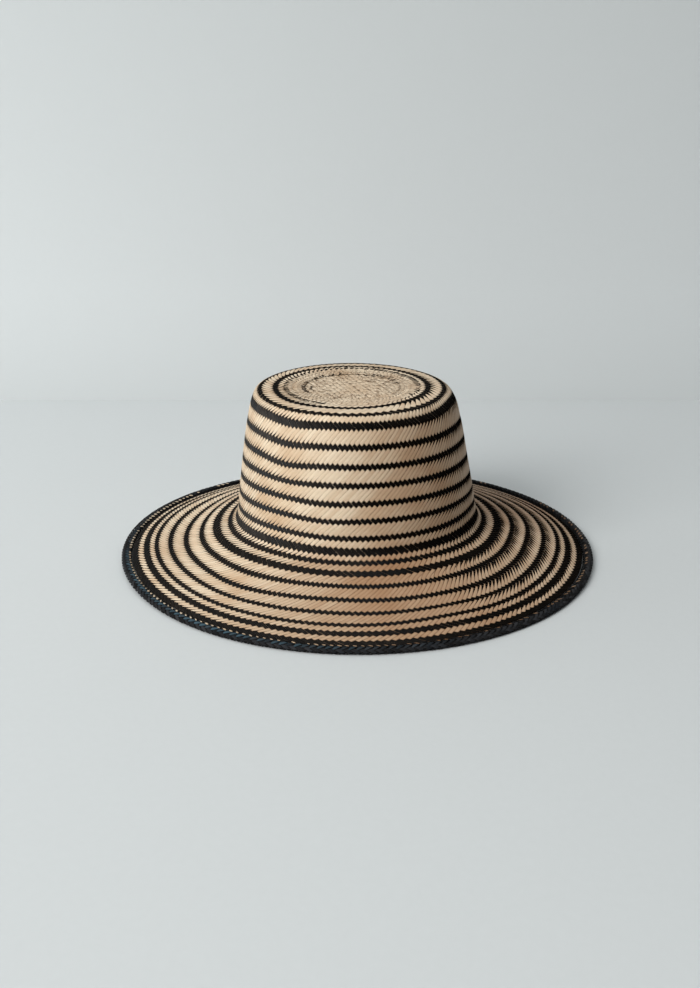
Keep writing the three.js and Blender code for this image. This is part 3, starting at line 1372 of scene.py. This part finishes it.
@dataclass(frozen=True)
class StrawFinish:
    """The finish of one colour of straw.

    Straws run from pale to deep, with patches of stain. edge is the colour of the grain's
    lines and of the straw's two sides, the seams between straws; pale_seam is the share of
    the seams' darkening kept where there is no painted shade, so the seams darken more on the
    shaded side, which is painted shade. shade_and_sheen_color is painted shade where a straw
    tucks under another or at the tip's gaps, and on the braid's straw a painted bluish sheen,
    laid where shade_and_sheen marks it. shade_and_tan is what the colour is multiplied by
    where it is deepest: painted shade, with the natural straw's own tan.
    """

    name: str
    pale: Color
    deep: Color
    stain: Color
    edge: Color
    shade_and_sheen_color: Color
    shade_and_tan: Color
    roughness: float
    gloss: float
    grain: float
    edge_share: float
    bump: float
    pale_seam: float = 0.2
    patch_scale: float = 28.0
    patch_edge: Pair = (0.48, 0.75)
    line_edge: Pair = (0.35, 0.65)

    def make(self, fibre: Tree) -> Material:
        """Builds the material.

        Args:
            fibre: The shared group of the straw's grain.

        Returns:
            The material.
        """
        material, shader = new_shader(self.name, self.roughness)
        shader.inputs["Specular IOR Level"].default_value = self.gloss
        tree = material.node_tree
        grain = add_node(tree, "ShaderNodeGroup", node_tree=fibre).outputs
        tone, shade_and_sheen, shade_and_tan = (
            add_node(tree, "ShaderNodeAttribute", attribute_name=layer).outputs["Fac"]
            for layer in StrawMesh.LAYERS
        )
        place = add_node(tree, "ShaderNodeTexCoord").outputs["Object"]
        body = mix_color(tree, tone, self.pale, self.deep)
        patches = noise(tree, place, self.patch_scale, detail=3.0)
        patches = spread_out(tree, patches, *self.patch_edge)
        body = mix_color(tree, patches, body, self.stain)
        lines = spread_out(tree, grain["Grain"], *self.line_edge, self.grain)
        body = mix_color(tree, lines, body, self.edge)
        # The seams darken more where painted shade is deep; that part is painted shade.
        seam = math_node(tree, "MULTIPLY", shade_and_tan, 1.0 - self.pale_seam)
        seam = math_node(tree, "ADD", seam, self.pale_seam)
        seam = math_node(tree, "MULTIPLY", seam, self.edge_share)
        body = mix_color(tree, math_node(tree, "MULTIPLY", grain["Edge"], seam), body, self.edge)
        # Mixes in painted shade where marked; on the braid's straw this colour is a painted bluish sheen.
        body = mix_color(tree, shade_and_sheen, body, self.shade_and_sheen_color)
        # Multiplies the colour down where it is deepest: painted shade, with the natural straw's own tan.
        feed(shader.inputs["Base Color"], mix_color(tree, shade_and_tan, body, self.shade_and_tan, "MULTIPLY"))
        relief = {"Strength": self.bump, "Distance": 0.2 * MM, "Height": grain["Height"]}
        feed(shader.inputs["Normal"], add_node(tree, "ShaderNodeBump", relief).outputs["Normal"])
        return material


NATURAL = StrawFinish(
    name="natural_straw",
    pale=(0.77, 0.643, 0.478, 1.0),
    deep=(0.66, 0.510, 0.355, 1.0),
    stain=(0.58, 0.40, 0.245, 1.0),
    edge=(0.30, 0.18, 0.09, 1.0),
    shade_and_sheen_color=(0.20, 0.115, 0.055, 1.0),
    shade_and_tan=(0.62, 0.50, 0.42, 1.0),
    roughness=0.55,
    gloss=0.35,
    grain=0.25,
    edge_share=0.8,
    bump=0.35,
)
# The black straw is multiplied darker towards the right with painted shade; its paler left is partly faded
# dye and partly painted sheen.
BLACK = StrawFinish(
    name="black_straw",
    pale=(0.068, 0.062, 0.057, 1.0),
    deep=(0.042, 0.040, 0.039, 1.0),
    stain=(0.044, 0.048, 0.052, 1.0),
    edge=(0.012, 0.011, 0.010, 1.0),
    shade_and_sheen_color=(0.012, 0.011, 0.010, 1.0),
    shade_and_tan=(0.125, 0.105, 0.085, 1.0),
    roughness=0.6,
    gloss=0.0,
    grain=0.5,
    edge_share=0.5,
    bump=0.4,
)
BLUE_BLACK = StrawFinish(
    name="blue_black_straw",
    pale=(0.030, 0.032, 0.036, 1.0),
    deep=(0.004, 0.005, 0.006, 1.0),
    stain=(0.010, 0.014, 0.019, 1.0),
    edge=(0.055, 0.045, 0.040, 1.0),
    shade_and_sheen_color=(0.062, 0.115, 0.150, 1.0),
    shade_and_tan=(0.3, 0.3, 0.3, 1.0),
    roughness=0.6,
    gloss=0.03,
    grain=0.15,
    edge_share=0.4,
    bump=0.4,
    pale_seam=1.0,
)
# A paler copy of the natural straw for the tip: painted light on the top, which faces the lamps.
LIT_TIP = replace(NATURAL, name="lit_tip_straw", pale=(0.86, 0.725, 0.545, 1.0), deep=(0.76, 0.60, 0.43, 1.0))


@dataclass(frozen=True)
class Lamp:
    """A soft square light that looks at the hat."""

    name: str
    place: Triple
    size: float
    power: float
    color: Triple = (1.0, 0.99, 0.97)

    def hang(self) -> None:
        """Hangs the light."""
        data = bpy.data.lights.new(self.name, "AREA")
        data.size = self.size
        data.energy = self.power
        data.color = self.color
        light = add_object(self.name, data)
        light.location = self.place
        light.rotation_euler = (-light.location).to_track_quat("-Z", "Y").to_euler()


@dataclass
class Studio:
    """The pale paper floor and wall, the soft light and the camera."""

    floor_size: float = 9.0
    wall_place: float = 0.457
    wall_height: float = 3.0
    wall_half: float = 4.0
    wall_fall: float = 0.62
    wall_foot: float = 0.13
    floor_paper: Color = (0.57, 0.600, 0.609, 1.0)
    wall_paper: Color = (0.67, 0.702, 0.712, 1.0)
    high_wall_shade: Color = (0.50, 0.53, 0.536, 1.0)
    foot_wall_shade: Color = (0.60, 0.63, 0.637, 1.0)
    paper_mottle: float = 0.02
    paper_scale: float = 220.0
    lamps: tuple[Lamp, ...] = (
        Lamp("window", (-1.94, -1.94, 1.65), 1.75, 97.0),
        Lamp("side", (-1.75, 0.15, 0.75), 1.3, 4.5, (0.97, 0.99, 1.0)),
        Lamp("ceiling", (0.0, -0.1, 2.6), 2.4, 27.0),
    )
    glow: Color = (0.93, 0.97, 1.0, 1.0)
    glow_strength: float = 0.1
    seen: Color = (0.95, 0.98, 1.0, 1.0)
    seen_strength: float = 0.62
    camera_place: Triple = (-0.0056, -0.736, 0.306)
    camera_down: float = 19.75
    focal_pixels: float = 1000.0
    picture_height: float = 988.0
    sensor: float = 36.0

    def paper(self, name: str, tone: Color) -> Material:
        """Builds the pale paper.

        Args:
            name: The material's name.
            tone: Its colour.

        Returns:
            The material.
        """
        material, shader = new_shader(name, roughness=0.9)
        tree = material.node_tree
        place = add_node(tree, "ShaderNodeTexCoord").outputs["Object"]
        paler = (*(value + self.paper_mottle for value in tone[:3]), 1.0)
        mottle = noise(tree, place, self.paper_scale, detail=4.0)
        feed(shader.inputs["Base Color"], mix_color(tree, mottle, tone, paler))
        return material

    def shade_wall(self, material: Material) -> None:
        """Paints shade on the wall's paper towards its top and in the crease at its foot, and clears it
        from behind.

        Args:
            material: The wall's paper.
        """
        tree = material.node_tree
        shader = tree.nodes["Principled BSDF"]
        place = add_node(tree, "ShaderNodeTexCoord").outputs["Object"]
        height = add_node(tree, "ShaderNodeSeparateXYZ", {0: place}).outputs["Z"]
        color = shader.inputs["Base Color"].links[0].from_socket
        # Painted shade towards the wall's top and in the crease at its foot.
        color = mix_color(tree, spread_out(tree, height, 0.0, self.wall_fall), color, self.high_wall_shade)
        color = mix_color(tree, spread_out(tree, height, self.wall_foot, 0.0), color, self.foot_wall_shade)
        feed(shader.inputs["Base Color"], color)
        behind = add_node(tree, "ShaderNodeNewGeometry").outputs["Backfacing"]
        choose(tree, behind, shader, add_node(tree, "ShaderNodeBsdfTransparent"), "Material Output")

    def floor(self) -> None:
        """Lays the floor."""
        builder = bmesh.new()
        bmesh.ops.create_grid(builder, x_segments=8, y_segments=8, size=self.floor_size)
        finish_bmesh("floor", builder, self.paper("floor_paper", self.floor_paper))

    def wall(self) -> None:
        """Stands the paper wall behind the hat, with its face to the front."""
        builder = bmesh.new()
        ends = [builder.verts.new((side * self.wall_half, self.wall_place, 0.0)) for side in (-1, 1)]
        raised = bmesh.ops.extrude_edge_only(builder, edges=[builder.edges.new(ends)])
        upper = [part for part in raised["geom"] if isinstance(part, bmesh.types.BMVert)]
        bmesh.ops.translate(builder, verts=upper, vec=(0.0, 0.0, self.wall_height))
        builder.normal_update()
        bmesh.ops.reverse_faces(builder, faces=[face for face in builder.faces if face.normal.y > 0.0])
        paper = self.paper("wall_paper", self.wall_paper)
        self.shade_wall(paper)
        finish_bmesh("wall", builder, paper)

    def room(self) -> None:
        """Sets the room's even glow, which is stronger where the camera sees it."""
        world = bpy.data.worlds.new("soft_room")
        world.use_nodes = True
        tree = world.node_tree
        glow = tree.nodes["Background"]
        feed(glow.inputs["Color"], self.glow)
        feed(glow.inputs["Strength"], self.glow_strength)
        seen = add_node(tree, "ShaderNodeBackground", {"Color": self.seen, "Strength": self.seen_strength})
        is_seen = add_node(tree, "ShaderNodeLightPath").outputs["Is Camera Ray"]
        choose(tree, is_seen, glow, seen, "World Output")
        bpy.context.scene.world = world

    def camera(self) -> None:
        """Sets the camera at the photograph's angle."""
        data = bpy.data.cameras.new("camera")
        data.sensor_width = self.sensor
        data.lens = self.sensor * self.focal_pixels / self.picture_height
        data.clip_start = 0.01
        camera = add_object("camera", data)
        camera.location = self.camera_place
        camera.rotation_euler = (math.radians(90.0 - self.camera_down), 0.0, 0.0)
        bpy.context.scene.camera = camera

    def build(self) -> None:
        """Sets up the whole studio."""
        self.floor()
        self.wall()
        for lamp in self.lamps:
            lamp.hang()
        self.room()
        self.camera()
        bpy.context.scene.view_settings.view_transform = "Standard"


@dataclass
class PlaitedBody:
    """The tip, the crown and the brim, plaited in one from the middle of the tip outwards.

    Each pair of rows is where a set of straws starts and ends. tucks are how many rows past
    the plait's last one the natural and the black straws go on under the braid. On the tip
    a second natural set crosses the first as far as check_end, and both reach in over the
    disc by tip_overlap rows.
    """

    plait: Plait = field(default_factory=Plait)
    tip_cut: StrawCut = StrawCut(draw=0.6, pinch=0.18, rise=0.12, tilt=0.06, tone_spread=0.25)
    crown_cut: StrawCut = StrawCut(draw=0.78, inner_rows=2.0, outer_rows=1.7, loosen=0.02)
    brim_cut: StrawCut = StrawCut(draw=1.0, outer_rows=1.05, loosen=0.03)
    black_cut: StrawCut = StrawCut()
    tip_overlap: float = 1.0
    check_end: float = -2.6
    black_tip_rows: Pair = (-2.9, 4.0)
    crown_rows: Pair = (1.0, 70.0)
    black_crown_rows: Pair = (4.0, 67.0)
    tucks: Pair = (0.4, 1.6)
    speck_seed: int = 31
    slit_seed: int = 21

    def tip(self, material: Material) -> None:
        """Plaits the natural straw of the tip, its square disc and its brown marks.

        Args:
            material: The tip's finish.
        """
        start = float(self.plait.first_row)
        # Each opening darkens the straws with painted shade in its gaps.
        openings = (
            Opening(-2.3, 0.9, share=0.85, front_share=0.9, dark=0.1),
            Opening(-4.5, 0.4, share=0.75, front_share=0.8, dark=0.5),
            Opening(-6.5, 0.4, share=0.75, front_share=0.8, dark=0.5),
            Opening(start - 0.6, 0.9, share=0.4, front_share=0.7, dark=1.0),
        )
        straws = np.arange(self.plait.tip_straws)
        part = PlaitedPart("natural_tip", self.plait, Side.RISING, self.tip_cut, 1, openings)
        part.lay(straws, start - self.tip_overlap, self.crown_rows[0], None)
        check = replace(part, side=Side.FALLING, seed=2, shade=Side.RISING)
        check.lay(straws, start - self.tip_overlap, self.check_end, None)
        disc = TipDisc(self.plait.face)
        disc.lay(part.mesh)
        # Specks of painted shade in the holes between the tip's straws.
        specks = (
            SlitRing(-3.6, 1.5, 0.24, brown_shade=0.8),
            SlitRing(-4.7, 1.5, 0.26, brown_shade=0.8, lean=0.2),
            SlitRing(-5.8, 1.5, 0.24, brown_shade=0.8),
            SlitRing(-6.9, 1.5, 0.26, brown_shade=0.8, lean=0.2),
            SlitRing(-8.0, 1.5, 0.26, brown_shade=0.8),
            SlitRing(start - 2.0, 1.5, 0.3, brown_shade=1.0, uneven=0.5, depth=disc.top, lean=0.2),
            SlitRing(start - 3.6, 1.5, 0.34, brown_shade=1.0, uneven=0.6, depth=disc.top),
            SlitRing(start - 5.4, 1.5, 0.4, brown_shade=1.0, uneven=0.7, depth=disc.top, lean=0.2),
            SlitRing(start - 7.4, 1.5, 0.5, brown_shade=1.0, uneven=0.7, depth=disc.top),
        )
        for seed, ring in enumerate(specks, self.speck_seed):
            ring.lay(part.mesh, self.plait, seed)
        part.finish(material)

    def black_tip(self, material: Material) -> None:
        """Plaits the black straw of the tip, with the slits where its ends show.

        Args:
            material: The black finish.
        """
        part = PlaitedPart("black_tip", self.plait, Side.FALLING, self.black_cut, 3)
        part.lay(np.arange(self.plait.tip_straws), *self.black_tip_rows, None, sink_start=True)
        start = float(self.plait.first_row)
        around = ((-90.0, 62.0, 1.0), (180.0, 60.0, 1.0), (95.0, 40.0, 0.85))
        slits = (
            SlitRing(-3.0, 2.0, 0.55, around, depth=-0.05),
            SlitRing(start - 0.3, 1.4, 0.6, ((-112.0, 50.0, 0.9), (138.0, 30.0, 0.7))),
            SlitRing(start + 1.3, 0.9, 0.4, ((165.0, 40.0, 0.4),)),
            SlitRing(start - 2.9, 0.9, 0.4, ((-88.0, 26.0, 0.7),)),
        )
        for seed, ring in enumerate(slits, self.slit_seed):
            ring.lay(part.mesh, self.plait, seed)
        part.finish(material)

    def build(self, fibre: Tree, braid: EdgeBraid) -> None:
        """Plaits the tip, the crown and the brim.

        Args:
            fibre: The shared group of the straw's grain.
            braid: The braid that the ends of the natural straws are laid on.
        """
        natural = NATURAL.make(fibre)
        black = BLACK.make(fibre)
        self.tip(LIT_TIP.make(fibre))
        self.black_tip(black)
        plait = self.plait
        first, last = self.crown_rows
        black_first, black_last = self.black_crown_rows
        ends = [plait.last_row + tuck for tuck in self.tucks]
        crown, brim = plait.crown_join, plait.brim_join
        for name, cut, seed, rows, join in (
            ("natural_crown", self.crown_cut, 4, (first, last), crown),
            ("black_crown", self.black_cut, 6, (black_first, black_last), crown),
            ("natural_brim", self.brim_cut, 7, (last, ends[0]), brim),
            ("black_brim", self.black_cut, 8, (black_last, ends[1]), brim),
        ):
            is_black = cut is self.black_cut
            part = PlaitedPart(name, plait, Side.FALLING if is_black else Side.RISING, cut, seed)
            part.lay_joined(*rows, join)
            if cut is self.brim_cut:
                braid.lay_flecks(part.mesh, plait)
            part.finish(black if is_black else natural)


def main() -> None:
    """Builds the hat and its studio."""
    logging.basicConfig(level=logging.INFO, format="%(message)s")
    fibre = straw_fibre_group()
    braid = EdgeBraid()
    PlaitedBody().build(fibre, braid)
    braid.build(fibre)
    Studio().build()


if __name__ == "__main__":
    main()
